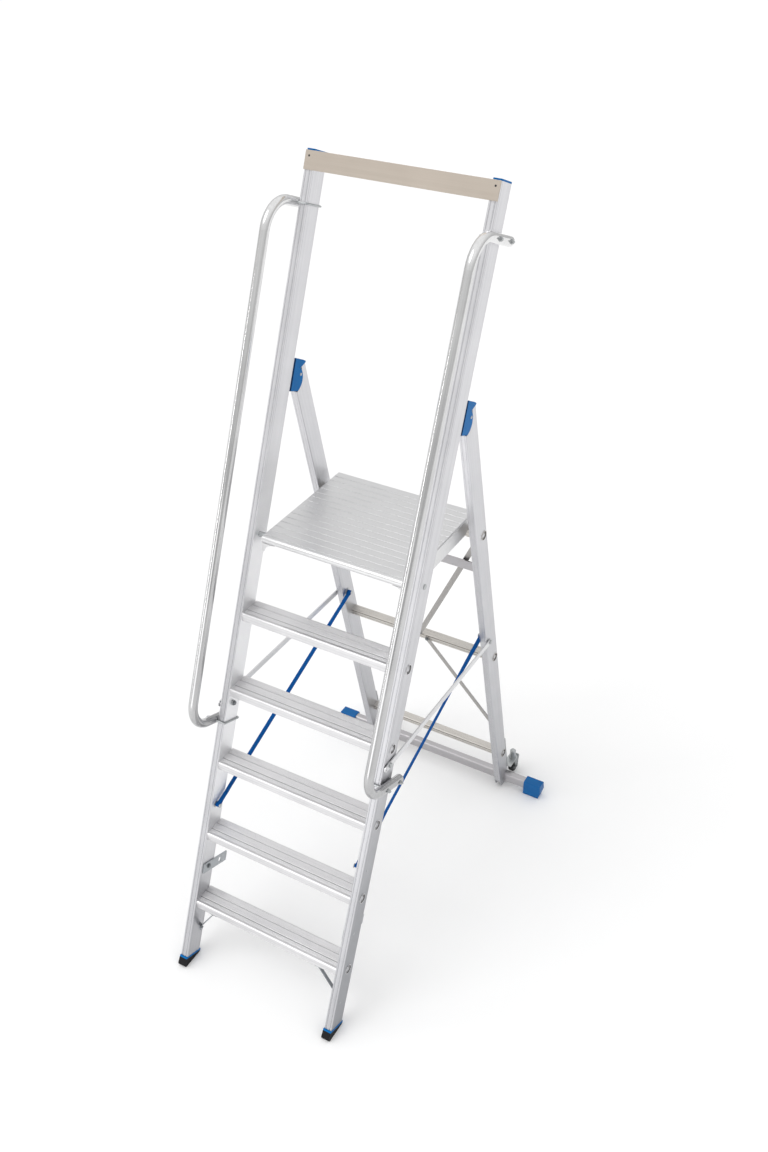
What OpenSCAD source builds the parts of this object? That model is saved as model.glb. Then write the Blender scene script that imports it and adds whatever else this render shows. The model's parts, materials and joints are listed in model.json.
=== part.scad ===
// Folding platform step with a guard frame, two handrails and a hinged rear support frame.
// Units are millimetres. X runs across the frame, Y from the user's side to the back, Z is up.
// The origin is on the floor, in the middle of the bounding box. The step is drawn opened for use.

/* [Main sizes] */
// height from one tread to the next
tread_rise = 235; // [220:1:250]
// height of the guard frame above the platform
guard_height = 1027; // [950:1:1100]
// outer width over both stiles
frame_width = 590; // [540:1:660]
// lean of the stiles from upright, degrees
stile_lean = 21.5; // [20:0.1:23]
// lean of the rear legs from upright, degrees
leg_lean = 14.6; // [13.5:0.1:16]
// overall length of the traverse over both caps
traverse_length = 902; // [840:1:1000]

/* [Stiles and legs] */
// width of the stile and leg sections
stile_width = 26; // [24:0.5:30]
// depth of the stile section
stile_depth = 70; // [64:0.5:76]
// depth of the rear leg section
leg_depth = 68; // [62:0.5:74]
// wall of the extrusions
wall = 2.2; // [1.6:0.1:3]
// depth of the long grooves in the front face
groove_depth = 0.8; // [0.4:0.1:1.2]
// thickness of the stile end caps
cap_plate = 5; // [3:0.5:8]

/* [Treads] */
// depth of a tread from front to back
tread_depth = 80; // [74:1:90]
// height of a tread's front lip
tread_height = 27; // [25:0.5:32]
// outer radius of the tube through tread, rung and stile
tube_radius = 12; // [11:0.5:12.5]
// radius of the flared tube end
flare_radius = 16; // [14:0.5:18]
// how far the flared end stands off the outer face
flare_height = 1.8; // [1.2:0.1:2]

/* [Platform] */
// depth of the platform
platform_depth = 448; // [420:1:480]
// gap between the platform and a stile
platform_gap = 25; // [22:0.5:30]
// height of deck and nosing
deck_height = 25; // [22:0.5:30]
// thickness of the platform side plates
side_plate = 3; // [2:0.5:4]
// drop of the side plates below the platform top
side_drop = 55; // [45:1:70]
// radius of the platform pivot bolts
pivot_bolt = 5; // [4:0.5:6]

/* [Guard frame] */
// height of the top bar along the stile
bar_height = 52; // [44:1:60]
// thickness of the top bar
bar_thick = 4.5; // [3:0.5:6]
// outer radius of the handrail tube
rail_radius = 14.6; // [13:0.1:16]
// wall of the handrail tube
rail_wall = 1.8; // [1.4:0.1:2.5]
// distance from the stile front to the handrail axis
rail_reach = 127; // [115:1:145]
// bend radius of the handrail axis
rail_bend = 90; // [75:1:95]
// upper handrail end below the stile top, along the stile
rail_top_drop = 141; // [125:1:160]
// lower handrail end above the floor, along the stile
rail_low = 896; // [860:1:905]
// handrail end behind the stile
rail_tail = 26; // [22:1:32]
// radius of the U-bolts that hold the handrails
clamp_bolt = 3; // [2.5:0.5:4]

/* [Rear frame] */
// hinge pivot above the platform, along the stile
hinge_rise = 466; // [440:1:480]
// hinge pivot behind the stile's rear face
hinge_back = 21.6; // [20:0.2:23]
// radius of the hinge knuckle
knuckle = 41.5; // [39:0.5:44]
// radius of the hinge pin
hinge_pin = 6; // [5:0.5:7]
// leg front face ahead of the hinge pivot
leg_ahead = 4; // [3:0.5:5]
// rung axis behind the leg's front face
rung_back = 46; // [44:0.5:48]
// side of the square rungs
rung_side = 28; // [26:0.5:30]
// height of the middle rung's axis
middle_rung_height = 766; // [740:1:790]
// height of the lower rung's axis
lower_rung_height = 192; // [180:1:205]
// height of the flat crossbar's axis
crossbar_height = 1216; // [1190:1:1240]
// height of the traverse's axis
traverse_height = 41; // [38:0.5:44]
// height of the traverse tube
traverse_tall = 40; // [36:0.5:44]
// depth of the traverse tube
traverse_deep = 28; // [26:0.5:32]
// length of a traverse cap
end_cap_length = 70; // [60:1:80]

/* [Links and castors] */
// strut pivot above the floor, along the stile
strut_low = 960; // [950:1:985]
// width of the side struts
strut_width = 20; // [18:0.5:24]
// thickness of the side struts
strut_thick = 4; // [3:0.5:5]
// width of the straps
strap_width = 14; // [10:0.5:16]
// thickness of the straps
strap_thick = 1.8; // [1.4:0.1:2.2]
// castor wheel radius
wheel_radius = 27; // [25:0.5:28]
// castor wheel width
wheel_width = 21; // [18:0.5:24]
// trail of the castor axle behind its stem
castor_trail = 14; // [10:0.5:18]

/* [Hidden] */
$fn = 36;

aluminium = [0.80, 0.81, 0.83];
warm_grey = [0.74, 0.73, 0.72];
blue = [0.05, 0.33, 0.62];
strap_blue = [0.02, 0.27, 0.56];
black = [0.06, 0.06, 0.07];
zinc = [0.70, 0.71, 0.72];

// clearance round a turning pin, and beside a piece that slides in
running_fit = 0.05;
slip_fit = 0.2;
// gap between pieces that rest on each other
seat = 0.3;

out_x = frame_width / 2;
in_x = out_x - stile_width;
mid_x = out_x - stile_width / 2;
platform_top = 6 * tread_rise;
stile_top = (platform_top + guard_height) / cos(stile_lean);
platform_s = platform_top / cos(stile_lean);
platform_x = in_x - platform_gap;
platform_front = platform_top * tan(stile_lean);
turn_back = 28;
turn_drop = 12;
turn_y = platform_front + turn_back;
turn_z = platform_top - turn_drop;
nosing_depth = 18;
bearer_tall = 18.7;
bearer_deep = 34;

tread_tube_back = 30;
tread_tube_drop = 13.5;
tube_wall = 2.5;

rail_x = out_x + rail_radius + 0.3;
rail_high = stile_top - rail_top_drop;
rail_end = stile_depth + rail_tail;
bolt_front = -clamp_bolt - 2;
bolt_rear = stile_depth + clamp_bolt + 2;
clamp_nut = 6;

pivot_s = platform_s + hinge_rise;
pivot_n = stile_depth + hinge_back;
pivot_y = pivot_s * sin(stile_lean) + pivot_n * cos(stile_lean);
pivot_z = pivot_s * cos(stile_lean) - pivot_n * sin(stile_lean);
fold = stile_lean + leg_lean;
leg_top = 18;
hood_tall = 65;
hood_brim = 68;
bracket_drop = 33;
flange = 6;
tongue = 11.6;
tongue_eye = 15;
pin_half = 10;
rung_m = rung_back - leg_ahead;
leg_rear = leg_depth - leg_ahead;
upper_rung_height = platform_top - deck_height - bearer_tall - seat - rung_side / 2;

function tread_y(k) = k * tread_rise * tan(stile_lean);
function s_y(s, n) = s * sin(stile_lean) + n * cos(stile_lean);
function s_z(s, n) = s * cos(stile_lean) - n * sin(stile_lean);
function l_y(m, t) = pivot_y + m * cos(leg_lean) - t * sin(leg_lean);
function l_z(m, t) = pivot_z + m * sin(leg_lean) + t * cos(leg_lean);
function l_t(z, m) = (z - pivot_z - m * sin(leg_lean)) / cos(leg_lean);
function l_n(m, t) = pivot_n + m * cos(fold) - t * sin(fold);
function l_s(m, t) = pivot_s + m * sin(fold) + t * cos(fold);

traverse_y = l_y(rung_m, l_t(traverse_height, rung_m));
bearer_y = l_y(rung_m, l_t(upper_rung_height, rung_m));
traverse_x = traverse_length / 2;
cap_deep = traverse_deep + 12;
cap_tall = traverse_height + traverse_tall / 2 + 2;

upper_stay_x = 11;
upper_stay_low = middle_rung_height + 12;
upper_stay_high = crossbar_height + 99;
upper_stay_wide = 18;
lower_stay_x = 38;
lower_stay_high = middle_rung_height - 8;
lower_stay_low = lower_rung_height + 182;
lower_stay_wide = 16;

catch_s = 371;
catch_half = 18;
catch_end = 137;
brace_rise = 104;
brace_run = 66;
brace_wide = 11;

strut_back = 28;
strut_tail = 23;
strut_bolt = 5;
stud = 4;
boss = 9;
strut_y = s_y(strut_low, strut_back);
strut_z = s_z(strut_low, strut_back);
stud_m = 11;
stud_t = l_t(strut_z - 7, stud_m);
stud_y = l_y(stud_m, stud_t);
stud_z = l_z(stud_m, stud_t);
strut_span = sqrt(pow(stud_y - strut_y, 2) + pow(stud_z - strut_z, 2));
strut_angle = atan2(stud_z - strut_z, stud_y - strut_y);
strut_x = out_x + flare_height + 0.7;

anchor_s = 603;
anchor_back = 25;
anchor_y = s_y(anchor_s, anchor_back);
anchor_z = s_z(anchor_s, anchor_back);
eye_m = 24;
eye_height = 877;
eye_t = l_t(eye_height, eye_m);
eye_y = l_y(eye_m, eye_t);
eye_z = l_z(eye_m, eye_t);
strap_span = sqrt(pow(eye_y - anchor_y, 2) + pow(eye_z - anchor_z, 2));
strap_angle = atan2(eye_z - anchor_z, eye_y - anchor_y);
strap_stud = 4;
strap_washer = 2;
strap_lap = 48;
strap_edge = in_x - strap_washer - seat;

fork_gap = wheel_width + 1;
fork_thick = 3;
fork_half = fork_gap / 2 + fork_thick;
castor_plate = 4;
castor_swing = 17;
castor_stem = 5;
axle = 4;
castor_x = mid_x + 10;
castor_lift = 3;
axle_z = wheel_radius + castor_lift;
plate_z = axle_z + wheel_radius + 21;
stem_y = l_y(leg_rear, l_t(plate_z, leg_rear)) + 42 + castor_trail;
axle_y = stem_y + castor_trail;

foot_lip = 3;
foot_front = -foot_lip;
foot_s = 39;
foot_plate = 5.5;
foot_side = 1.2;
toe = 10;
heel = 2.5;
back_y = axle_y + wheel_radius + 5;
mid_y = (foot_front + back_y) / 2;

// puts a piece into the shared frame
module world() {
    translate([0, -mid_y, 0])
        children();
}

// local axes: x across, y behind the stile's front face, z along the stile
module on_stile(n, s) {
    world()
        rotate([-stile_lean, 0, 0])
            translate([0, n, s])
                children();
}

// local axes: x across, y behind the hinge pivot, z along the leg
module on_leg(m, t) {
    world()
        translate([0, pivot_y, pivot_z])
            rotate([leg_lean, 0, 0])
                translate([0, m, t])
                    children();
}

module flip() {
    mirror([1, 0, 0])
        children();
}

// draws a piece on both sides
module both() {
    children();
    flip()
        children();
}

// a profile drawn in (y, z), extruded across
module across(from_x, to_x) {
    translate([from_x, 0, 0])
        rotate([90, 0, 90])
            linear_extrude(to_x - from_x)
                children();
}

// a round bar across
module bar(from_x, to_x, r) {
    translate([from_x, 0, 0])
        rotate([0, 90, 0])
            cylinder(h = to_x - from_x, r = r);
}

module rounded(w, h, r) {
    translate([r, 0])
        square([w - 2 * r, h]);
    translate([0, r])
        square([w, h - 2 * r]);
    for (x = [r, w - r])
        for (y = [r, h - r])
            translate([x, y])
                circle(r);
}

// hollow section, x across from the centre, y to the back
module section(w, d) {
    difference() {
        translate([-w / 2, 0])
            rounded(w, d, 3);
        translate([-w / 2 + wall, wall])
            square([w - 2 * wall, d - 2 * wall]);
        for (x = [-w / 5, w / 5])
            translate([x - 0.8, -1])
                square([1.6, 1 + groove_depth]);
    }
}

// solid that fills a hollow section's inside
module plug_outline(d) {
    gap = wall + slip_fit;
    translate([in_x + gap, gap])
        rounded(stile_width - 2 * gap, d - 2 * gap, 2);
}

// tube with flared ends through both sides
module flared_tube() {
    bore = tube_radius - tube_wall;
    difference() {
        union() {
            bar(-out_x, out_x, tube_radius);
            both()
                bar(out_x, out_x + flare_height, flare_radius);
        }
        bar(-out_x - 9, out_x + 9, bore);
        both()
            translate([out_x, 0, 0])
                rotate([0, 90, 0])
                    cylinder(h = flare_height + 0.1, r1 = bore - 0.1, r2 = flare_radius - 2);
    }
}

// front frame

module stile() {
    difference() {
        on_stile(0, foot_s)
            translate([mid_x, 0, 0])
                linear_extrude(stile_top - foot_s)
                    section(stile_width, stile_depth);
        for (k = [1:5])
            world()
                translate([0, tread_y(k) + tread_tube_back, k * tread_rise - tread_tube_drop])
                    bar(in_x - 5, out_x + 5, tube_radius + running_fit);
        world()
            translate([0, turn_y, turn_z])
                bar(in_x - 5, out_x + 5, pivot_bolt + running_fit);
        on_stile(strut_back, strut_low)
            bar(in_x - 5, out_x + 5, strut_bolt + running_fit);
    }
}

module right_stile() {
    color(aluminium)
        stile();
}

module left_stile() {
    color(aluminium)
        flip()
            stile();
}

// side view of a tread: ribbed skin, round lip, turned-in flanges, web and tube seat
module tread_profile() {
    d = tread_depth;
    h = tread_height;
    lip = 7;
    rib = 0.8;
    skin = 2.6;
    flange_front = 12;
    flange_rear = 10;
    difference() {
        union() {
            translate([lip, -rib - skin])
                square([d - lip, skin + 0.1]);
            translate([lip, -lip])
                circle(lip);
            translate([0, -h])
                square([3, h - lip]);
            translate([0, -h])
                square([flange_front, 2.5]);
            translate([d - skin, -h + 2])
                square([skin, h - 2.7]);
            translate([d - flange_rear, -h + 2])
                square([flange_rear, 2.4]);
            translate([54, -16])
                square([2.2, 13]);
            translate([tread_tube_back, -tread_tube_drop])
                circle(tube_radius);
            for (a = [15:4:d - 5])
                translate([a, -rib])
                    square([1.8, rib]);
        }
        translate([tread_tube_back, -tread_tube_drop])
            circle(tube_radius - tube_wall);
        for (a = [26, 53])
            translate([a, -2])
                square([3.4, 3]);
    }
}

module tread(k) {
    world()
        translate([0, tread_y(k), k * tread_rise]) {
            across(-in_x, in_x)
                tread_profile();
            translate([0, tread_tube_back, -tread_tube_drop])
                flared_tube();
        }
}

module tread_1() {
    color(aluminium)
        tread(1);
}

module tread_2() {
    color(aluminium)
        tread(2);
}

module tread_3() {
    color(aluminium)
        tread(3);
}

module tread_4() {
    color(aluminium)
        tread(4);
}

module tread_5() {
    color(aluminium)
        tread(5);
}

module top_bar() {
    color(warm_grey)
        on_stile(-bar_thick, stile_top - bar_height)
            translate([-out_x, 0, 0])
                cube([frame_width, bar_thick, bar_height]);
}

module stile_cap() {
    on_stile(0, stile_top) {
        translate([in_x, 0, 0])
            linear_extrude(cap_plate)
                rounded(stile_width, stile_depth, 3);
        translate([0, 0, -24])
            linear_extrude(25)
                plug_outline(stile_depth);
    }
}

module right_stile_cap() {
    color(blue)
        stile_cap();
}

module left_stile_cap() {
    color(blue)
        flip()
            stile_cap();
}

// side view of a foot: square to the stile above, flat on the floor with a round toe below
module foot_profile() {
    far = stile_depth + foot_lip;
    near_y = s_y(foot_s, -foot_lip);
    near_z = s_z(foot_s, -foot_lip);
    toe_y = foot_front + toe;
    heel_y = s_y(foot_s - 2 * foot_plate, far) - heel;
    reach = norm([near_y - toe_y, near_z - toe]);
    edge = sqrt(pow(reach, 2) - pow(toe, 2));
    turn = atan2(toe - near_z, toe_y - near_y) - asin(toe / reach);
    translate([toe_y, toe])
        circle(toe);
    translate([heel_y, heel])
        circle(heel);
    polygon([[near_y, near_z], [near_y + edge * cos(turn), near_z + edge * sin(turn)], [toe_y, toe],
        [toe_y, 0], [heel_y, 0], [heel_y, heel], [heel_y + heel, heel],
        [s_y(foot_s, far), s_z(foot_s, far)]]);
}

module foot_block() {
    across(in_x - foot_side, out_x + foot_side)
        foot_profile();
}

// the part of the foot that is rubber
module sole_space() {
    rotate([-stile_lean, 0, 0])
        translate([in_x - 20, -50, foot_s - foot_plate - 100])
            cube([stile_width + 40, 200, 100]);
}

module foot() {
    plug = 50;
    world()
        difference() {
            foot_block();
            sole_space();
        }
    on_stile(0, foot_s - 1)
        linear_extrude(plug)
            plug_outline(stile_depth);
}

module right_foot() {
    color(blue)
        foot();
}

module left_foot() {
    color(blue)
        flip()
            foot();
}

module sole() {
    world()
        intersection() {
            foot_block();
            sole_space();
        }
}

module right_sole() {
    color(black)
        sole();
}

module left_sole() {
    color(black)
        flip()
            sole();
}

// quarter bend of the handrail, from pointing back to pointing down the stile
module rail_quarter(r) {
    rotate([0, 90, 0])
        rotate_extrude(angle = 90)
            translate([rail_bend, 0])
                circle(r);
}

module rail_solid(r, tail) {
    near = -rail_reach + rail_bend;
    translate([rail_x, -rail_reach, rail_low + rail_bend])
        cylinder(h = rail_high - rail_low - 2 * rail_bend, r = r);
    for (s = [rail_low, rail_high])
        translate([rail_x, near, s])
            rotate([-90, 0, 0])
                cylinder(h = tail - near, r = r);
    translate([rail_x, near, rail_high - rail_bend])
        rotate([180, 0, 0])
            rail_quarter(r);
    translate([rail_x, near, rail_low + rail_bend])
        rotate([-90, 0, 0])
            rail_quarter(r);
}

module handrail() {
    on_stile(0, 0) {
        difference() {
            rail_solid(rail_radius, rail_end);
            rail_solid(rail_radius - rail_wall, rail_end - 4);
            for (s = [rail_low, rail_high])
                for (n = [bolt_front, bolt_rear])
                    translate([0, n, s])
                        bar(out_x - 5, rail_x + rail_radius + 5, clamp_bolt + slip_fit / 2);
        }
    }
}

module right_handrail() {
    color(aluminium)
        handrail();
}

module left_handrail() {
    color(aluminium)
        flip()
            handrail();
}

// square bend of a U-bolt, from pointing across to pointing along the depth
module u_bolt_bend(r) {
    rotate_extrude(angle = 90)
        translate([r, 0])
            circle(clamp_bolt);
}

// rod round the stile's inside whose ends pass through the handrail
module u_bolt() {
    bend = clamp_bolt + 3;
    back = in_x - clamp_bolt - seat;
    far = rail_x + rail_radius + clamp_nut + 3;
    for (n = [bolt_front, bolt_rear])
        translate([0, n, 0])
            bar(back + bend, far, clamp_bolt);
    translate([back, bolt_front + bend, 0])
        rotate([-90, 0, 0])
            cylinder(h = bolt_rear - bolt_front - 2 * bend, r = clamp_bolt);
    translate([back + bend, bolt_front + bend, 0])
        rotate(180)
            u_bolt_bend(bend);
    translate([back + bend, bolt_rear - bend, 0])
        rotate(90)
            u_bolt_bend(bend);
}

module handrail_u_bolts() {
    color(zinc)
        both()
            for (s = [rail_low, rail_high])
                on_stile(0, s)
                    u_bolt();
}

module clamp_nut_with_washer() {
    washer = 1.2;
    translate([rail_x + rail_radius, 0, 0])
        rotate([0, 90, 0])
            difference() {
                union() {
                    cylinder(h = washer, r = clamp_bolt + 4.5);
                    cylinder(h = clamp_nut, r = clamp_bolt + 3, $fn = 6);
                }
                translate([0, 0, -1])
                    cylinder(h = clamp_nut + 2, r = clamp_bolt + running_fit);
            }
}

module handrail_clamp_nuts() {
    color(zinc)
        both()
            for (s = [rail_low, rail_high])
                for (n = [bolt_front, bolt_rear])
                    on_stile(n, s)
                        clamp_nut_with_washer();
}

// flat stay from the lowest tread down to the stile, with a tab at each end
module knee_brace() {
    thick = 3;
    tab = 26;
    top_z = tread_rise - tread_height;
    low_z = top_z - brace_rise;
    world()
        translate([0, tread_y(1) + 0.5, 0]) {
            difference() {
                translate([in_x - brace_run, 0, top_z])
                    rotate([0, atan2(brace_rise, brace_run), 0])
                        translate([-20, 0, -thick / 2])
                            cube([brace_run + brace_rise, brace_wide, thick]);
                translate([in_x, -5, -100])
                    cube([200, 30, 500]);
                translate([-50, -5, top_z])
                    cube([600, 30, 200]);
            }
            translate([in_x - brace_run - tab / 2, 0, top_z - thick])
                cube([tab, brace_wide, thick]);
            translate([in_x - thick, 0, low_z - tab / 2])
                cube([thick, brace_wide, tab]);
        }
}

module knee_braces() {
    color(aluminium)
        both()
            knee_brace();
}

// plate behind the stile with a slot for a hook
module catch_plate() {
    thick = 4;
    root = 10;
    corner = 4;
    slot_from = 92;
    slot_wide = 15;
    slot_half = 9;
    on_stile(0, catch_s)
        across(in_x - seat - thick, in_x - seat)
            difference() {
                translate([root, -catch_half])
                    rounded(catch_end - root, 2 * catch_half, corner);
                translate([slot_from, -slot_half])
                    square([slot_wide, 2 * slot_half]);
            }
}

module catch_plates() {
    color(aluminium)
        both()
            catch_plate();
}

// side view of the bracket's body: round knuckle, and a hood square to the leg that stops it
module bracket_profile() {
    base = pivot_s - bracket_drop;
    d = stile_depth + flange;
    under = leg_top + seat;
    tip = 3;
    slope = 15;
    root = sqrt(pow(knuckle, 2) - pow(under, 2));
    translate([d, base])
        square([hinge_back - flange + 3, l_s(root, under) - base]);
    intersection() {
        translate([pivot_n, pivot_s])
            circle(knuckle, $fn = 72);
        translate([d, base])
            square([100, l_s(root, under) - base + 0.1]);
    }
    tip_n = l_n(hood_brim - tip, under + tip);
    tip_s = l_s(hood_brim - tip, under + tip);
    polygon([[d, l_s(root, under)], [l_n(root, under), l_s(root, under)],
        [l_n(hood_brim - tip, under), l_s(hood_brim - tip, under)], [tip_n, tip_s],
        [tip_n + tip * sin(slope), tip_s + tip * cos(slope)], [pivot_n + 29, pivot_s + hood_tall - 4],
        [d, pivot_s + hood_tall]]);
    translate([tip_n, tip_s])
        circle(tip);
}

// bracket with a narrower flange against the stile and a slot for the leg's tongue
module hinge_bracket() {
    slot = tongue + 0.6;
    inset = 1.5;
    base = pivot_s - bracket_drop;
    on_stile(0, 0)
        difference() {
            union() {
                across(in_x, out_x)
                    bracket_profile();
                translate([in_x + inset, stile_depth, base])
                    cube([stile_width - 2 * inset, flange + 1, bracket_drop + hood_tall]);
            }
            translate([mid_x - slot / 2, stile_depth + flange + seat, pivot_s - 60])
                cube([slot, 100, tongue_eye + 61]);
            translate([0, pivot_n, pivot_s])
                bar(mid_x - pin_half - slip_fit, mid_x + pin_half + slip_fit, hinge_pin + running_fit);
        }
}

module right_hinge_bracket() {
    color(blue)
        hinge_bracket();
}

module left_hinge_bracket() {
    color(blue)
        flip()
            hinge_bracket();
}

module hinge_pins() {
    color(zinc)
        both()
            on_stile(pivot_n, pivot_s)
                bar(mid_x - pin_half, mid_x + pin_half, hinge_pin);
}

module strut_bolts() {
    outer = strut_x + strut_thick;
    color(zinc)
        both()
            on_stile(strut_back, strut_low) {
                bar(in_x - 5, outer + 3, strut_bolt);
                bar(in_x - 6, in_x, boss);
                bar(out_x, strut_x - seat, boss);
                bar(outer + seat, outer + 4, boss - 1);
            }
}

// stud with a washer at the frame and a head that keeps the strap on
module strap_stud_at(washer) {
    head = strap_edge - strap_width - seat;
    bar(in_x - strap_washer, in_x, washer);
    bar(head - 1, in_x, strap_stud);
    bar(head - 2, head, strap_stud + 3);
}

module strap_anchors() {
    color(zinc)
        both()
            on_stile(anchor_back, anchor_s)
                strap_stud_at(11);
}

module platform_pivot_bolts() {
    head = 6.6;
    rivet = 2;
    color(zinc)
        both()
            world()
                translate([0, turn_y, turn_z]) {
                    bar(platform_x - head - 0.4, out_x + 1, pivot_bolt);
                    bar(out_x, out_x + rivet, pivot_bolt + 3.5);
                    bar(platform_x - head - 0.4, platform_x - 0.4, pivot_bolt + 2.5);
                    bar(platform_x + side_plate + seat, in_x, pivot_bolt + 4);
                }
}

// platform

// side view of the deck: skin with wide flat bands on webs with feet
module deck_profile() {
    d = platform_depth;
    h = deck_height;
    rib = 1.2;
    skin = 2.4;
    web = 2.2;
    foot_wide = 9.2;
    first = 42;
    webs = 8;
    pitch = (d - first - web) / (webs - 1);
    start = nosing_depth + slip_fit;
    bands = 15;
    groove = 3;
    band = (d - start) / bands;
    translate([start, -rib - skin])
        square([d - start, skin + 0.1]);
    for (i = [0:webs - 1]) {
        a = first + i * pitch;
        last = i == webs - 1;
        translate([a, -h])
            square([web, h - 2]);
        translate([last ? a + web - foot_wide : a - 3, -h])
            square([foot_wide, web]);
    }
    for (i = [0:bands - 1])
        translate([start + i * band + groove / 2, -rib])
            square([band - groove, rib]);
}

module platform_deck() {
    color(aluminium)
        world()
            translate([0, platform_front, platform_top])
                across(-platform_x, platform_x)
                    deck_profile();
}

// hollow round front edge with a flat back
module platform_nosing() {
    r = deck_height / 2 - 0.5;
    skin = 2.6;
    color(aluminium)
        world()
            translate([0, platform_front, platform_top])
                across(-platform_x, platform_x)
                    difference() {
                        intersection() {
                            union() {
                                translate([r, -r])
                                    circle(r);
                                translate([r, -2 * r])
                                    square([r, 2 * r]);
                            }
                            translate([0, -2 * r])
                                square([nosing_depth, 2 * r]);
                        }
                        intersection() {
                            translate([r, -r])
                                circle(r - skin);
                            translate([0, -2 * r])
                                square([nosing_depth - skin, 2 * r]);
                        }
                    }
}

// side plate with a curved gusset behind the nosing
module platform_side() {
    h = side_drop;
    d = platform_depth;
    edge = 6;
    gusset = 42;
    gusset_thick = 3.5;
    world()
        translate([0, platform_front, platform_top]) {
            difference() {
                across(platform_x, platform_x + side_plate)
                    polygon([[edge, -3], [d - edge, -3], [d - edge, -24], [d - edge - 56, -h], [70, -h],
                        [edge, -32]]);
                translate([0, turn_back, -turn_drop])
                    bar(platform_x - 5, platform_x + 9, pivot_bolt + running_fit);
            }
            translate([platform_x, edge + 4, -h])
                rotate([90, 0, 0])
                    linear_extrude(gusset_thick)
                        difference() {
                            translate([-gusset, 0])
                                square([gusset + side_plate, h - deck_height]);
                            translate([-gusset, -12])
                                circle(gusset, $fn = 72);
                        }
        }
}

module right_platform_side() {
    color(aluminium)
        platform_side();
}

module left_platform_side() {
    color(aluminium)
        flip()
            platform_side();
}

// box bar under the deck that lands on the upper rung
module platform_bearer() {
    skin = 2.2;
    end = platform_x - slip_fit;
    color(warm_grey)
        world()
            translate([0, bearer_y - bearer_deep / 2, platform_top - deck_height - bearer_tall])
                across(-end, end)
                    difference() {
                        square([bearer_deep, bearer_tall]);
                        translate([skin, skin])
                            square([bearer_deep - 2 * skin, bearer_tall - 2 * skin]);
                    }
}

// rear frame

// traverse outline, grown by a clearance
module traverse_outline(grow) {
    w = traverse_deep + 2 * grow;
    h = traverse_tall + 2 * grow;
    translate([-w / 2, -h / 2])
        rounded(w, h, 7);
}

// leg with a concave top round the knuckle and a cut-back toe
module rear_leg() {
    wide = stile_width + 40;
    toe = 48;
    base = 8;
    difference() {
        on_leg(-leg_ahead, l_t(0, 0) - 60)
            translate([mid_x, 0, 0])
                linear_extrude(120 - l_t(0, 0))
                    section(stile_width, leg_depth);
        world()
            translate([in_x - 20, pivot_y, -200])
                cube([wide, 900, 200 + base]);
        world()
            translate([in_x - 20, l_y(-leg_ahead, l_t(toe, -leg_ahead)), toe])
                rotate([-62, 0, 0])
                    translate([0, -60, -60])
                        cube([wide, 160, 60]);
        world()
            translate([0, traverse_y, traverse_height])
                across(in_x - 9, out_x + 9)
                    traverse_outline(slip_fit / 2);
        for (z = [upper_rung_height, middle_rung_height, lower_rung_height])
            on_leg(rung_m, l_t(z, rung_m))
                bar(in_x - 5, out_x + 5, tube_radius + running_fit);
        on_leg(0, 0)
            bar(in_x - 9, out_x + 9, knuckle + 0.7, $fn = 72);
        on_leg(-60, 9)
            translate([in_x - 20, 0, 0])
                cube([wide, 60 + knuckle + 0.9, 200]);
        on_leg(-60, leg_top)
            translate([in_x - 20, 0, 0])
                cube([wide, 200, 200]);
    }
}

module right_rear_leg() {
    color(aluminium)
        rear_leg();
}

module left_rear_leg() {
    color(aluminium)
        flip()
            rear_leg();
}

// block inside the leg with a tongue that turns on the hinge pin
module leg_plug() {
    top = -knuckle - 9;
    eye = tongue_eye;
    difference() {
        on_leg(0, 0) {
            translate([0, -leg_ahead, top - 60])
                linear_extrude(60)
                    plug_outline(leg_depth);
            across(mid_x - tongue / 2, mid_x + tongue / 2) {
                circle(eye);
                polygon([[-eye, 0], [eye, 0], [46, top + 1], [46, top - 10], [3, top - 10], [3, top + 1]]);
            }
        }
        on_leg(0, 0)
            bar(in_x, out_x, hinge_pin + running_fit);
    }
}

module right_leg_plug() {
    color(blue)
        leg_plug();
}

module left_leg_plug() {
    color(blue)
        flip()
            leg_plug();
}

module rung_profile() {
    a = rung_side;
    difference() {
        translate([-a / 2, -a / 2])
            rounded(a, a, 3);
        circle(tube_radius - tube_wall);
        for (q = [0:90:270])
            rotate(q)
                for (x = [-a / 5, a / 5])
                    translate([x - 1, a / 2 - 1])
                        square([2, 2]);
    }
}

module rung(z, turn) {
    on_leg(rung_m, l_t(z, rung_m))
        rotate([turn, 0, 0]) {
            across(-in_x, in_x)
                rung_profile();
            flared_tube();
        }
}

module upper_rung() {
    color(warm_grey)
        rung(upper_rung_height, -leg_lean);
}

module middle_rung() {
    color(warm_grey)
        rung(middle_rung_height, 0);
}

module lower_rung() {
    color(warm_grey)
        rung(lower_rung_height, 0);
}

// flat bar between the legs with a turned-back tab at each end
module crossbar() {
    w = 40;
    thick = 4;
    tab = 16;
    m = rung_m - rung_side / 2 - 12;
    color(aluminium)
        on_leg(m, l_t(crossbar_height, m)) {
            translate([-in_x, 0, -w / 2])
                cube([2 * in_x, thick, w]);
            both()
                translate([in_x - thick, 0, -w / 2])
                    cube([thick, tab, w]);
        }
}

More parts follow.
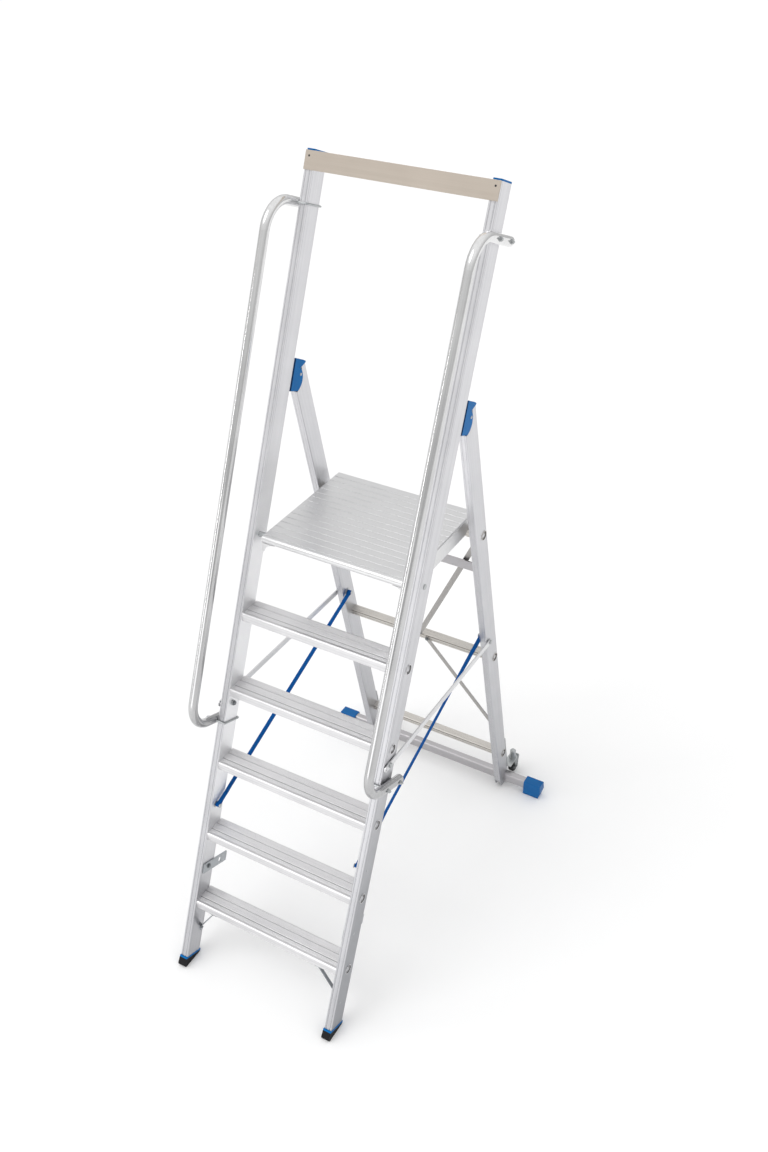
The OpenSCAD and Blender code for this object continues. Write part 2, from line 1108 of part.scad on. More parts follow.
// flat bar with a round end from the rung at height z1 to a tab on the leg at height z2
module brace(x1, z1, z2, w) {
    thick = 3;
    tab = 24;
    m = rung_m - rung_side / 2 - thick;
    t1 = l_t(z1, m);
    t2 = l_t(z2, m);
    run = in_x + 2 - x1;
    span = sqrt(pow(run, 2) + pow(t2 - t1, 2));
    difference() {
        union() {
            on_leg(m, t1)
                translate([x1, 0, 0])
                    rotate([0, -atan2(t2 - t1, run), 0]) {
                        translate([0, 0, -w / 2])
                            cube([span, thick, w]);
                        rotate([-90, 0, 0])
                            cylinder(h = thick, r = w / 2);
                    }
            on_leg(m, t2)
                translate([in_x - thick, -10, -tab / 2])
                    cube([thick, 22, tab]);
        }
        on_leg(m - 30, t2 - 100)
            translate([in_x, 0, 0])
                cube([100, 100, 200]);
    }
}

module upper_diagonal() {
    color(aluminium)
        brace(upper_stay_x, upper_stay_low, upper_stay_high, upper_stay_wide);
}

module lower_diagonal() {
    color(aluminium)
        brace(lower_stay_x, lower_stay_high, lower_stay_low, lower_stay_wide);
}

module traverse() {
    end = traverse_x - 6;
    color(aluminium)
        world()
            translate([0, traverse_y, traverse_height])
                across(-end, end)
                    difference() {
                        traverse_outline(0);
                        traverse_outline(-2);
                    }
}

// cap over the traverse's end, cut back above and below its widest line
module traverse_cap() {
    world()
        translate([0, traverse_y, 0])
            difference() {
                across(traverse_x - end_cap_length, traverse_x)
                    translate([-cap_deep / 2, 0])
                        rounded(cap_deep, cap_tall, 4);
                translate([0, 0, traverse_height])
                    across(traverse_x - end_cap_length - 5, traverse_x - 5.5)
                        traverse_outline(slip_fit / 2);
                translate([traverse_x, -60, cap_tall / 2]) {
                    rotate([0, 14, 0])
                        translate([0, 0, -100])
                            cube([60, 120, 100]);
                    rotate([0, -5, 0])
                        cube([60, 120, 100]);
                }
            }
}

module right_traverse_cap() {
    color(blue)
        traverse_cap();
}

module left_traverse_cap() {
    color(blue)
        flip()
            traverse_cap();
}

// angle on the leg's rear face with a round-ended plate for the castor stem
module castor_bracket() {
    wide = stile_width + 120;
    difference() {
        union() {
            on_leg(leg_rear, l_t(plate_z, leg_rear))
                translate([in_x, 0, -4])
                    cube([stile_width, castor_plate, 190]);
            world()
                translate([castor_x, stem_y, plate_z]) {
                    translate([-castor_swing, -70, 0])
                        cube([2 * castor_swing, 70, castor_plate]);
                    cylinder(h = castor_plate, r = castor_swing);
                }
        }
        on_leg(leg_rear - 100, l_t(plate_z, leg_rear) - 100)
            translate([in_x - 60, 0, 0])
                cube([wide, 100, 400]);
        world()
            translate([castor_x, stem_y, plate_z - 5])
                cylinder(h = 20, r = castor_stem + slip_fit / 2);
        world()
            translate([in_x - 60, stem_y - 120, plate_z - 50])
                cube([wide, 200, 50]);
    }
}

module castor_brackets() {
    color(zinc)
        both()
            castor_bracket();
}

// stem with its hidden nut below the fork's top, and a tall cap nut above the plate
module castor_stem_nut() {
    below = 7.5;
    world()
        translate([castor_x, stem_y, plate_z]) {
            translate([0, 0, -below])
                cylinder(h = below + castor_plate + 1, r = castor_stem);
            translate([0, 0, -below])
                cylinder(h = 4 - seat, r = 9);
            translate([0, 0, castor_plate]) {
                cylinder(h = 7, r = 14);
                cylinder(h = 32, r = 11.5);
                translate([0, 0, 32])
                    cylinder(h = 5, r1 = 11.5, r2 = 7);
            }
        }
}

module castor_stem_nuts() {
    color(zinc)
        both()
            castor_stem_nut();
}

// fork with two trailing cheeks under a round swivel plate
module castor_fork() {
    sheet = 3;
    cheek = 10;
    roof = plate_z - seat;
    top = roof - axle_z;
    front = -castor_trail - cheek;
    world()
        difference() {
            union() {
                translate([castor_x, stem_y, roof - sheet])
                    cylinder(h = sheet, r = castor_swing);
                translate([castor_x - fork_half, axle_y + front, roof - sheet])
                    cube([2 * fork_half, 16 - front, sheet]);
                for (x = [castor_x - fork_half, castor_x + fork_half - fork_thick])
                    translate([0, axle_y, axle_z])
                        across(x, x + fork_thick) {
                            circle(cheek);
                            polygon([[-cheek, 0], [cheek, 0], [22, top - 12], [16, top], [front, top],
                                [front, top - 10]]);
                        }
            }
            translate([castor_x, stem_y, plate_z - 20])
                cylinder(h = 40, r = castor_stem + running_fit);
            translate([0, axle_y, axle_z])
                bar(castor_x - 60, castor_x + 60, axle + running_fit);
        }
}

module right_castor_fork() {
    color(zinc)
        castor_fork();
}

module left_castor_fork() {
    color(zinc)
        flip()
            castor_fork();
}

module castor_axle() {
    head = 4;
    world()
        translate([castor_x, axle_y, axle_z]) {
            bar(-fork_half - 1, fork_half + 1, axle);
            for (x = [-fork_half - head, fork_half])
                bar(x, x + head, axle + 2.5);
        }
}

module right_castor_axle() {
    color(zinc)
        castor_axle();
}

module left_castor_axle() {
    color(zinc)
        flip()
            castor_axle();
}

module castor_wheel() {
    w = wheel_width;
    r = wheel_radius;
    bevel = 2.5;
    dish = 2.5;
    world()
        translate([castor_x, axle_y, axle_z])
            rotate([0, 90, 0])
                translate([0, 0, -w / 2])
                    difference() {
                        rotate_extrude($fn = 48)
                            polygon([[axle + running_fit, 0], [r - bevel, 0], [r, bevel], [r, w - bevel],
                                [r - bevel, w], [axle + running_fit, w]]);
                        for (z = [-1, w - dish])
                            translate([0, 0, z])
                                difference() {
                                    cylinder(h = dish + 1, r = r - 9);
                                    cylinder(h = dish + 1, r = 2 * axle);
                                }
                    }
}

module right_castor_wheel() {
    color(black)
        castor_wheel();
}

module left_castor_wheel() {
    color(black)
        flip()
            castor_wheel();
}

module strut_studs() {
    outer = strut_x + strut_thick;
    color(zinc)
        both()
            on_leg(stud_m, stud_t) {
                bar(out_x, outer + 3, stud);
                bar(out_x, strut_x - seat, boss);
                bar(outer + seat, outer + 3, boss - 1);
            }
}

module strap_eyes() {
    color(zinc)
        both()
            on_leg(eye_m, eye_t)
                strap_stud_at(12);
}

// links

// flat strut that turns on the stile and hooks over a stud on the leg
module strut_arm() {
    w = strut_width;
    hook = stud + seat;
    world()
        translate([0, strut_y, strut_z])
            rotate([strut_angle, 0, 0])
                difference() {
                    across(strut_x, strut_x + strut_thick) {
                        translate([-strut_tail, 0])
                            circle(w / 2);
                        translate([-strut_tail, -w / 2])
                            square([strut_span + strut_tail, w]);
                        translate([strut_span, 0])
                            circle(w / 2);
                    }
                    bar(strut_x - 5, strut_x + strut_thick + 5, strut_bolt + running_fit);
                    translate([0, -strut_tail, 0])
                        bar(strut_x - 5, strut_x + strut_thick + 5, stud);
                    translate([0, strut_span, 0]) {
                        bar(strut_x - 5, strut_x + strut_thick + 5, hook);
                        rotate([60, 0, 0])
                            translate([strut_x - 5, -40, -hook])
                                cube([strut_thick + 10, 40, 2 * hook]);
                    }
                }
}

module right_strut() {
    color(aluminium)
        strut_arm();
}

module left_strut() {
    color(aluminium)
        flip()
            strut_arm();
}

// band across the studs: a loop round each, lapped and sewn behind it
module strap() {
    t = strap_thick;
    world()
        translate([0, anchor_y, anchor_z])
            rotate([strap_angle, 0, 0])
                across(strap_edge - strap_width, strap_edge)
                    difference() {
                        union() {
                            translate([0, -t / 2])
                                square([strap_span, t]);
                            for (a = [0, strap_span - strap_lap])
                                translate([a, -t])
                                    square([strap_lap, 2 * t]);
                            for (a = [0, strap_span])
                                translate([a, 0])
                                    circle(strap_stud + seat + t);
                        }
                        for (a = [0, strap_span])
                            translate([a, 0])
                                circle(strap_stud + seat);
                    }
}

module right_strap() {
    color(strap_blue)
        strap();
}

module left_strap() {
    color(strap_blue)
        flip()
            strap();
}

left_stile();
right_stile();
tread_1();
tread_2();
tread_3();
tread_4();
tread_5();
top_bar();
left_stile_cap();
right_stile_cap();
left_foot();
right_foot();
left_sole();
right_sole();
left_handrail();
right_handrail();
handrail_u_bolts();
handrail_clamp_nuts();
knee_braces();
catch_plates();
left_hinge_bracket();
right_hinge_bracket();
hinge_pins();
strut_bolts();
strap_anchors();
platform_pivot_bolts();
platform_deck();
platform_nosing();
left_platform_side();
right_platform_side();
platform_bearer();
left_rear_leg();
right_rear_leg();
left_leg_plug();
right_leg_plug();
upper_rung();
middle_rung();
lower_rung();
crossbar();
upper_diagonal();
lower_diagonal();
traverse();
left_traverse_cap();
right_traverse_cap();
castor_brackets();
castor_stem_nuts();
left_castor_fork();
right_castor_fork();
left_castor_axle();
right_castor_axle();
left_castor_wheel();
right_castor_wheel();
strut_studs();
strap_eyes();
left_strut();
right_strut();
left_strap();
right_strap();
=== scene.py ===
import json
import math

import bmesh
import bpy
from mathutils import Matrix, Vector

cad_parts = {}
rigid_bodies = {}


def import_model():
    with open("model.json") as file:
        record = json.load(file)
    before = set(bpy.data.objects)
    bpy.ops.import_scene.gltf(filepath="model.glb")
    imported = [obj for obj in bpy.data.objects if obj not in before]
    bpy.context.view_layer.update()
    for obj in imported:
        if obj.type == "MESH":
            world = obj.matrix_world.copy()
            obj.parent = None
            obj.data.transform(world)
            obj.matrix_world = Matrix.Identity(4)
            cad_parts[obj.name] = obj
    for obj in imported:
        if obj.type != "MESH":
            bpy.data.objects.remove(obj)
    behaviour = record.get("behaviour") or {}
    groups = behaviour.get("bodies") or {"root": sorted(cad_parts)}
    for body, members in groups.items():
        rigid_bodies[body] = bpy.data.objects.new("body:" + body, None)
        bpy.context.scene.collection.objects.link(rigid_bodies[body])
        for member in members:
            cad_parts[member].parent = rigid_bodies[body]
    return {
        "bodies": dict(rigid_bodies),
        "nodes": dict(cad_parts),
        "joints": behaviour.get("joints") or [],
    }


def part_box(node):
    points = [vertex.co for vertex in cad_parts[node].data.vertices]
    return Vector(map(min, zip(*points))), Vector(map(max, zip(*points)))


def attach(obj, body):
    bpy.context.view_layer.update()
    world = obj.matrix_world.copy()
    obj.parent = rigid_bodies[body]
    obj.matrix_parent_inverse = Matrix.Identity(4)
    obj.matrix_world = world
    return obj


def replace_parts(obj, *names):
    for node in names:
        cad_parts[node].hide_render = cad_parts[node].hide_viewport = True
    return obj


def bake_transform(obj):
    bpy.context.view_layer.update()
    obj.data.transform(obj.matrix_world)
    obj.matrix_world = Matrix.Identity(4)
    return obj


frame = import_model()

# A folding platform step with a guard frame: finishes for every solid, and the small
# fasteners, tube ends, webbing straps and stitches that sit on them. Lengths are in metres.

NODES = frame["nodes"]
BODIES = list(frame["bodies"].values())
for stray in [o for o in bpy.data.objects if o.name not in NODES and o not in BODIES]:
    bpy.data.objects.remove(stray)
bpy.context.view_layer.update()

# Camera, as the photograph was taken, with its angles in degrees
IMAGE_HEIGHT = 1152
FOCAL_PIXELS = 1177.3
SENSOR = 36.0
CAMERA_PLACE = (1.5355, -2.5477, 3.3241)
CAMERA_PITCH = 34.821
CAMERA_YAW = 29.593

# White tent: its brightness at the foot and overhead, and how far up it reaches the latter
HORIZON = 0.55
ZENITH = 1.0
ZENITH_FROM = 0.75

# Soft sun, and lamps as (place, target, width, height, watts)
SUN_FROM = (-2, -3, 5)
SUN_POWER = 0.6
SUN_SPREAD = math.radians(35)
LAMPS = {
    "front_softbox": ((-0.6, -4.2, 1.0), (0, 0, 0.8), 2.4, 2.4, 16),
    "side_strip": ((-3.0, -2.5, 1.6), (0, 0, 1.2), 0.3, 2.6, 11),
}
FLOOR_SIZE = 40
FLOOR_WHITE = (0.97, 0.97, 0.97, 1)

# Front frame
STILE_LEAN = math.radians(21.5)
STILE_WIDTH = 0.026
STILE_DEPTH = 0.070
STILE_TOP = 2.6194
BAR_THICK = 0.0045
FOOT_LIP = 0.003
TREADS = 5
TREAD_RISE = 0.235
TUBE_BEHIND = 0.030
TUBE_BELOW = 0.0135
BRACE_BEHIND = 0.006
BRACE_RISE = 0.104
BRACE_RUN = 0.066
BRACE_TOP = 0.205

# Platform, which rests on the upper rung
PLATFORM_HEIGHT = (TREADS + 1) * TREAD_RISE
DECK_HEIGHT = 0.025
BEARER_HEIGHT = 0.0187
SEAT_GAP = 0.0003

# Rear frame, with heights above the floor
LEG_LEAN = math.radians(14.6)
LEG_AHEAD = 0.004
LEG_DEPTH = 0.068
RUNG_BEHIND = 0.042
RUNG_SIDE = 0.028
RUNG_HEIGHTS = (0.766, 0.192)
UPPER_RUNG = PLATFORM_HEIGHT - DECK_HEIGHT - BEARER_HEIGHT - SEAT_GAP - RUNG_SIDE / 2
CROSSBAR_HEIGHT = 1.216
CROSSBAR_BEHIND = 0.025
STAY_BEHIND = RUNG_BEHIND - 0.017
BRACKET_FOOT = 0.078
BRACKET_PLATE = 0.004
BRACKET_RIVETS = (0.070, 0.150)
HUB_RADIUS = 0.018

# Straps: the anchor as (up the stile, behind its front), the eye by depth and height
STRAP_ANCHOR = (0.603, 0.025)
EYE_BEHIND = 0.024
EYE_HEIGHT = 0.877
STRAP_GAP = 0.0023
STRAP_WIDTH = 0.014
STRAP_THICK = 0.0018
STRAP_STUD = 0.004
STRAP_LAP = 0.048
STRAP_NECK = 0.015
STRAP_STEPS = 30
STRAP_STRAIGHT = 0.16
TWIST_FROM = 0.064
TWIST_OVER = 0.16
STITCH_ROW = 9
STITCH_CROSS = 3
STITCH_INSET = 0.0025
STITCH_SIZE = (0.0004, 0.0012, 0.0003)

JOINTS = {joint["name"]: joint for joint in frame["joints"]}
HINGE = Vector(JOINTS["rear_fold"]["pos_m"])
WHEEL_AXLE = Vector(JOINTS["right_wheel_spin"]["pos_m"])
OUT_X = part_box("right_stile")[1].x
IN_X = OUT_X - STILE_WIDTH
MID_X = OUT_X - STILE_WIDTH / 2
FLOOR_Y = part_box("right_sole")[0].y + FOOT_LIP


def on_stile(x, n, s):
    """Point x across, n behind the stile's front face, s up along the stile."""
    y = s * math.sin(STILE_LEAN) + n * math.cos(STILE_LEAN)
    z = s * math.cos(STILE_LEAN) - n * math.sin(STILE_LEAN)
    return Vector((x, FLOOR_Y + y, z))


def on_leg(x, m, t):
    """Point x across, m behind the hinge pivot, t up along the rear leg."""
    y = m * math.cos(LEG_LEAN) - t * math.sin(LEG_LEAN)
    z = m * math.sin(LEG_LEAN) + t * math.cos(LEG_LEAN)
    return Vector((x, HINGE.y + y, HINGE.z + z))


def leg_t(z, m):
    """Place along the rear leg of a point m behind the pivot, at height z."""
    return (z - HINGE.z - m * math.sin(LEG_LEAN)) / math.cos(LEG_LEAN)


def leg_at(x, m, z):
    """Point x across, m behind the hinge pivot, at height z."""
    return on_leg(x, m, leg_t(z, m))


FORWARD = on_stile(0, -1, 0) - on_stile(0, 0, 0)
BACKWARD = on_leg(0, 1, 0) - on_leg(0, 0, 0)
STRAP_FROM = on_stile(0, STRAP_ANCHOR[1], STRAP_ANCHOR[0])
STRAP_TO = leg_at(0, EYE_BEHIND, EYE_HEIGHT)
STRAP_SPAN = (STRAP_TO - STRAP_FROM).length
STRAP_RUN = (STRAP_TO - STRAP_FROM).normalized()
STRAP_RISE = Vector((0, -STRAP_RUN.z, STRAP_RUN.y))
STRAP_EDGE = IN_X - STRAP_GAP


# Finishes

# Colour sockets of a Mix node
MIX_FIRST, MIX_SECOND, MIX_RESULT = 6, 7, 2


class Value:
    """A socket in a node tree. Arithmetic on it adds Math nodes."""

    def __init__(self, nodes, socket):
        self.nodes = nodes
        self.socket = socket

    def __add__(self, other):
        return self.nodes.maths("ADD", self, other)

    def __radd__(self, other):
        return self.nodes.maths("ADD", other, self)

    def __sub__(self, other):
        return self.nodes.maths("SUBTRACT", self, other)

    def __rsub__(self, other):
        return self.nodes.maths("SUBTRACT", other, self)

    def __mul__(self, other):
        return self.nodes.maths("MULTIPLY", self, other)

    def __rmul__(self, other):
        return self.nodes.maths("MULTIPLY", other, self)


class Nodes:
    """A node tree that grows one call at a time."""

    def __init__(self, tree):
        self.tree = tree

    def node(self, kind, settings=None, inputs=None, output=0):
        """Adds a node, sets it up, then gives its sockets their values or links."""
        made = self.tree.nodes.new(kind)
        for name, value in (settings or {}).items():
            if name == "stops":
                for stop, (position, colour) in zip(made.color_ramp.elements, value):
                    stop.position = position
                    stop.color = (*colour, 1.0)
            else:
                setattr(made, name, value)
        for socket, value in (inputs or {}).items():
            if isinstance(value, Value):
                self.tree.links.new(value.socket, made.inputs[socket])
            else:
                made.inputs[socket].default_value = value
        return Value(self, made.outputs[output])

    def maths(self, operation, *values):
        return self.node("ShaderNodeMath", {"operation": operation}, dict(enumerate(values)))

    def vectors(self, operation, *values, output=0):
        return self.node("ShaderNodeVectorMath", {"operation": operation}, dict(enumerate(values)), output)

    def axis(self, vector, name):
        return self.node("ShaderNodeSeparateXYZ", None, {0: vector}, name)


class Finish(Nodes):
    """A material, its shader and the object place that its nodes start from."""

    def __init__(self, name, **constants):
        self.material = bpy.data.materials.new(name)
        self.material.use_nodes = True
        super().__init__(self.material.node_tree)
        self.shader = self.tree.nodes["Principled BSDF"]
        for socket, value in constants.items():
            self.shader.inputs[socket.replace("_", " ")].default_value = value
        self.place = self.node("ShaderNodeTexCoord", output="Object")

    def feed(self, socket, value):
        self.tree.links.new(value.socket, self.shader.inputs[socket])

    def at(self, name):
        """Object place along one axis."""
        return self.axis(self.place, name)

    def along(self, tilt, scale):
        """Object place turned back by a lean about X, then stretched."""
        turned_back = self.node("ShaderNodeMapping", None, {"Vector": self.place, "Rotation": (tilt, 0, 0)})
        return self.node("ShaderNodeMapping", None, {"Vector": turned_back, "Scale": scale})

    def noise(self, vector, scale, detail=3.0, rough=0.5):
        inputs = {"Vector": vector, "Scale": scale, "Detail": detail, "Roughness": rough}
        return self.node("ShaderNodeTexNoise", None, inputs)

    def blend(self, factor, first, second):
        """Colour between two. The first can be a value too."""
        start = first if isinstance(first, Value) else (*first, 1.0)
        inputs = {"Factor": factor, MIX_FIRST: start, MIX_SECOND: (*second, 1.0)}
        return self.node("ShaderNodeMix", {"data_type": "RGBA"}, inputs, output=MIX_RESULT)

    def line(self, value, place, width):
        """1 within a narrow line, 0 beside it."""
        return self.maths("COMPARE", value, place, width / 2)

    def fade(self, value, start, end):
        """Rises from 0 at the start to 1 at the end."""
        return self.node("ShaderNodeMapRange", None, {"Value": value, "From Min": start, "From Max": end})

    def soft_edge(self, radius):
        """Normal rounded over the sharp edges, and a value that is above 0 along them."""
        rounded = self.node("ShaderNodeBevel", {"samples": 4}, {"Radius": radius})
        flat = self.node("ShaderNodeNewGeometry", output="Normal")
        near = self.vectors("DOT_PRODUCT", rounded, flat, output="Value")
        return rounded, 1.0 - near

    def bump(self, height, strength, distance, normal=None):
        inputs = {"Height": height, "Strength": strength, "Distance": distance}
        if normal:
            inputs["Normal"] = normal
        self.feed("Normal", self.node("ShaderNodeBump", None, inputs))


# Height at which the climb, painted shade that darkens an extrusion towards the floor and lightens it
# higher up, leaves its tone as it is
CLIMB_FROM = 1.2
# Near-white that paints light onto the stiles' inner faces
PAINTED_LIGHT_TONE = (0.95, 0.95, 0.96)


def extrusion(name, tilt, grain, light, dark, roughness, lift=0.0, climb=0.0, lines=None, paler=None):
    """Aluminium drawn through a die: streaks along the length, a cloudy sheen, rubbed edges.

    A lift makes it paler, and a climb paints shade, darker towards the floor and paler higher up. Lines are
    darker, and where the paler mask is set, light is painted on as near-white."""
    finish = Finish(name, Metallic=1.0)
    rounded, edge = finish.soft_edge(0.0012)
    fine = finish.noise(finish.along(tilt, grain), 1.0, 4.0, 0.6)
    broad = finish.noise(finish.along(tilt, [0.16 * g for g in grain]), 1.0, 2.0)
    cloud = finish.noise(finish.place, 9.0, 3.0)
    tone = 0.40 * fine + 0.30 * broad + 0.30 * cloud + 1.2 * edge + lift
    # Painted shade: darker towards the floor, paler higher up
    if climb:
        tone = tone + climb * (finish.at("Z") - CLIMB_FROM)
    if lines:
        tone = tone - lines(finish)
    colour = finish.blend(tone, dark, light)
    sheen = roughness - 0.08 + 0.10 * fine + 0.08 * cloud - 0.15 * edge
    # Painted light: masked faces are blended towards near-white and made a little rougher
    if paler:
        painted_light_mask = paler(finish)
        colour = finish.blend(0.95 * painted_light_mask, colour, PAINTED_LIGHT_TONE)
        sheen = sheen + 0.12 * painted_light_mask
    finish.feed("Base Color", colour)
    finish.feed("Roughness", sheen)
    finish.bump(0.6 * fine + 0.4 * broad, 0.06, 0.00006, rounded)
    return finish.material


def behind_stile(finish):
    """Depth behind the plane of the stiles' front faces."""
    return finish.axis(finish.along(STILE_LEAN, (1, 1, 1)), "Y") - FLOOR_Y * math.cos(STILE_LEAN)


def off_middle(finish):
    """Distance from the middle of the frame, to either side."""
    return finish.maths("ABSOLUTE", finish.at("X"))


# How near to the plane of a face a point counts as on it
FRONT_SKIN = 0.0006
SIDE_SKIN = 0.0005

# Die lines on the stiles: on the sides as (depth, width), on the front near both corners
NEAR_LINE = (0.0085, 0.0014)
FAR_LINE = (0.0620, 0.0010)
CORNER_INSET = 0.0060
CORNER_WIDTH = 0.0016

# Heights between which the painted light on the stiles' inner faces fades in and out
PALER_FROM = (0.22, 0.62)
PALER_TO = (1.76, 1.50)

# Grooves and ribs on a tread, by depth
TREAD_GROOVES = (0.0277, 0.0547)
GROOVE_WIDTH = 0.0034
FIRST_RIB = 0.0159
RIB_HALF = 0.002

# Grooves along a rung as (height above its middle, width)
RUNG_GROOVES = ((0.0045, 0.0055), (-0.0080, 0.0030))


def corner_lines(finish):
    """Fine die lines up the stile's sides and front, and painted shade that darkens the outer faces towards
    the floor.
    """
    behind = behind_stile(finish)
    across = off_middle(finish)
    front = finish.maths("LESS_THAN", behind, FRONT_SKIN)
    outer = finish.maths("GREATER_THAN", across, OUT_X - SIDE_SKIN)
    sides = 0.6 * finish.line(behind, *NEAR_LINE) + 0.35 * finish.line(behind, *FAR_LINE)
    outer_corner = finish.line(across, OUT_X - CORNER_INSET, CORNER_WIDTH)
    inner_corner = finish.line(across, IN_X + CORNER_INSET, CORNER_WIDTH)
    # Painted shade on the outer faces, darker towards the floor
    painted_shade_low = finish.maths("MAXIMUM", 0.75 - 0.75 * finish.at("Z"), 0.0)
    return sides + 0.5 * front * (outer_corner + inner_corner) + outer * painted_shade_low


def inner_faces_painted_light(finish):
    """Mask of painted light: 1 on the stiles' inner faces between the treads, 0 on the rest."""
    inside = finish.maths("LESS_THAN", off_middle(finish), IN_X + SIDE_SKIN)
    height = finish.at("Z")
    return inside * finish.fade(height, *PALER_FROM) * finish.fade(height, *PALER_TO)


def tread_lines(finish):
    """Darker lines along a tread's grooves, and a tone that rises across each rib. All treads step back by
    the stile's lean.
    """
    behind = finish.at("Y") - FLOOR_Y - math.tan(STILE_LEAN) * finish.at("Z")
    ribs = finish.maths("PINGPONG", behind - FIRST_RIB, RIB_HALF)
    front, back = [finish.line(behind, depth, GROOVE_WIDTH) for depth in TREAD_GROOVES]
    return 0.85 * (front + back) + 60.0 * ribs


def rung_lines(finish):
    """A broad and a fine dark groove along the rungs' fronts."""
    height = finish.at("Z")
    lines = [finish.line(height, rung + step, width)
        for rung in RUNG_HEIGHTS for step, width in RUNG_GROOVES]
    return 0.9 * sum(lines[1:], lines[0])


LENGTHWAYS = (900.0, 900.0, 5.0)
CROSSWAYS = (5.0, 900.0, 900.0)
ALL_WAYS = (300.0, 300.0, 300.0)
PALE = (0.78, 0.776, 0.795)

STILE_METAL = extrusion("stile_aluminium", STILE_LEAN, LENGTHWAYS, PALE, (0.36, 0.365, 0.385), 0.40,
    lift=0.14, climb=0.20, lines=corner_lines, paler=inner_faces_painted_light)
LEG_METAL = extrusion("leg_aluminium", -LEG_LEAN, LENGTHWAYS, PALE, (0.42, 0.425, 0.445), 0.38, climb=0.26)
RAIL_METAL = extrusion("rail_aluminium", STILE_LEAN, LENGTHWAYS, (0.80, 0.80, 0.80), (0.22, 0.22, 0.23),
    0.14, lift=0.06, climb=0.35)
TREAD_METAL = extrusion("tread_aluminium", 0, CROSSWAYS, (0.82, 0.815, 0.825), (0.32, 0.32, 0.33), 0.42,
    lift=0.40, lines=tread_lines)
DECK_METAL = extrusion("deck_aluminium", 0, CROSSWAYS, (0.81, 0.81, 0.815), (0.65, 0.65, 0.655), 0.36)
BAR_METAL = extrusion("top_bar_aluminium", 0, CROSSWAYS, (0.66, 0.59, 0.52), (0.48, 0.42, 0.355), 0.42)
RUNG_METAL = extrusion("rung_aluminium", 0, CROSSWAYS, (0.70, 0.675, 0.64), (0.24, 0.22, 0.195), 0.34,
    lift=0.25, lines=rung_lines)
TRAVERSE_METAL = extrusion("traverse_aluminium", 0, CROSSWAYS, (0.56, 0.545, 0.56), (0.42, 0.41, 0.42),
    0.36)
STAY_METAL = extrusion("stay_aluminium", 0, ALL_WAYS, (0.48, 0.465, 0.45), (0.34, 0.33, 0.32), 0.36)
CATCH_METAL = extrusion("catch_aluminium", 0, ALL_WAYS, (0.50, 0.52, 0.54), (0.36, 0.38, 0.40), 0.36)
STRUT_METAL = extrusion("strut_aluminium", 0, ALL_WAYS, (0.80, 0.80, 0.81), (0.66, 0.66, 0.67), 0.38)


def zinc_plate():
    """Bright zinc with faint crystals and a warm and cool bloom."""
    finish = Finish("zinc_plate", Metallic=1.0)
    inputs = {"Vector": finish.place, "Scale": 420.0}
    crystals = finish.node("ShaderNodeTexVoronoi", None, inputs, "Distance")
    bloom = finish.noise(finish.place, 60.0, 3.0)
    finish.feed("Base Color", finish.blend(bloom, (0.34, 0.36, 0.38), (0.58, 0.59, 0.58)))
    finish.feed("Roughness", 0.20 + 0.12 * bloom + 0.10 * crystals)
    finish.bump(crystals, 0.06, 0.0003)
    return finish.material


def mould_marks(finish):
    """Fine grain of a mould, and broad patches that are rubbed."""
    return finish.noise(finish.place, 1600.0, 2.0), finish.noise(finish.place, 28.0, 3.0)


def moulded_blue(name, painted_shadow=None):
    """Tough blue plastic with a fine mould grain and rubbed patches, and painted shadow in darker blue
    where a mask is given.
    """
    finish = Finish(name, Specular_IOR_Level=0.10)
    rounded, edge = finish.soft_edge(0.0015)
    grain, rubbed = mould_marks(finish)
    colour = finish.blend(rubbed + 0.8 * edge, (0.001, 0.118, 0.360), (0.003, 0.165, 0.470))
    # Painted shadow: darker blue where the mask is set
    if painted_shadow:
        colour = finish.blend(0.85 * painted_shadow(finish), colour, (0.001, 0.020, 0.075))
    finish.feed("Base Color", colour)
    finish.feed("Roughness", 0.34 + 0.16 * rubbed)
    finish.bump(grain, 0.12, 0.0003, rounded)
    return finish.material


def stile_painted_shadow(finish):
    """Mask of painted shadow on the lip where a hinge bracket lies against the stile's back."""
    return finish.line(behind_stile(finish), STILE_DEPTH + 0.0030, 0.0100)


def cap_blue():
    """A darker blue on the traverse's end caps, dirty where they stand on the floor."""
    finish = Finish("cap_blue", Specular_IOR_Level=0.22)
    rounded, edge = finish.soft_edge(0.002)
    grain, rubbed = mould_marks(finish)
    dirt = finish.maths("LESS_THAN", finish.at("Z") + 0.004 * rubbed, 0.0085)
    tone = rubbed + 0.6 * edge - 2.0 * dirt
    finish.feed("Base Color", finish.blend(tone, (0.001, 0.090, 0.285), (0.002, 0.130, 0.380)))
    finish.feed("Roughness", 0.32 + 0.16 * rubbed + 0.3 * dirt)
    finish.bump(grain, 0.12, 0.0003, rounded)
    return finish.material


def dark_gap():
    """Near-black with a little grain, used as painted shade in the flared tube ends and for the top bar's
    rivets.
    """
    finish = Finish("dark_gap", Specular_IOR_Level=0.2)
    grease = finish.noise(finish.place, 260.0, 3.0)
    finish.feed("Base Color", finish.blend(grease, (0.020, 0.020, 0.022), (0.070, 0.068, 0.066)))
    finish.feed("Roughness", 0.5 + 0.3 * grease)
    finish.bump(grease, 0.2, 0.0003)
    return finish.material


def blackened_steel():
    """Bolts and castor forks gone dark, brighter where they rub."""
    finish = Finish("blackened_steel", Metallic=1.0)
    rounded, edge = finish.soft_edge(0.001)
    bloom = finish.noise(finish.place, 90.0, 4.0, 0.6)
    tone = bloom + 1.5 * edge - 0.1
    finish.feed("Base Color", finish.blend(tone, (0.07, 0.080, 0.088), (0.40, 0.42, 0.43)))
    finish.feed("Roughness", 0.20 + 0.2 * bloom)
    finish.bump(bloom, 0.05, 0.0002, rounded)
    return finish.material


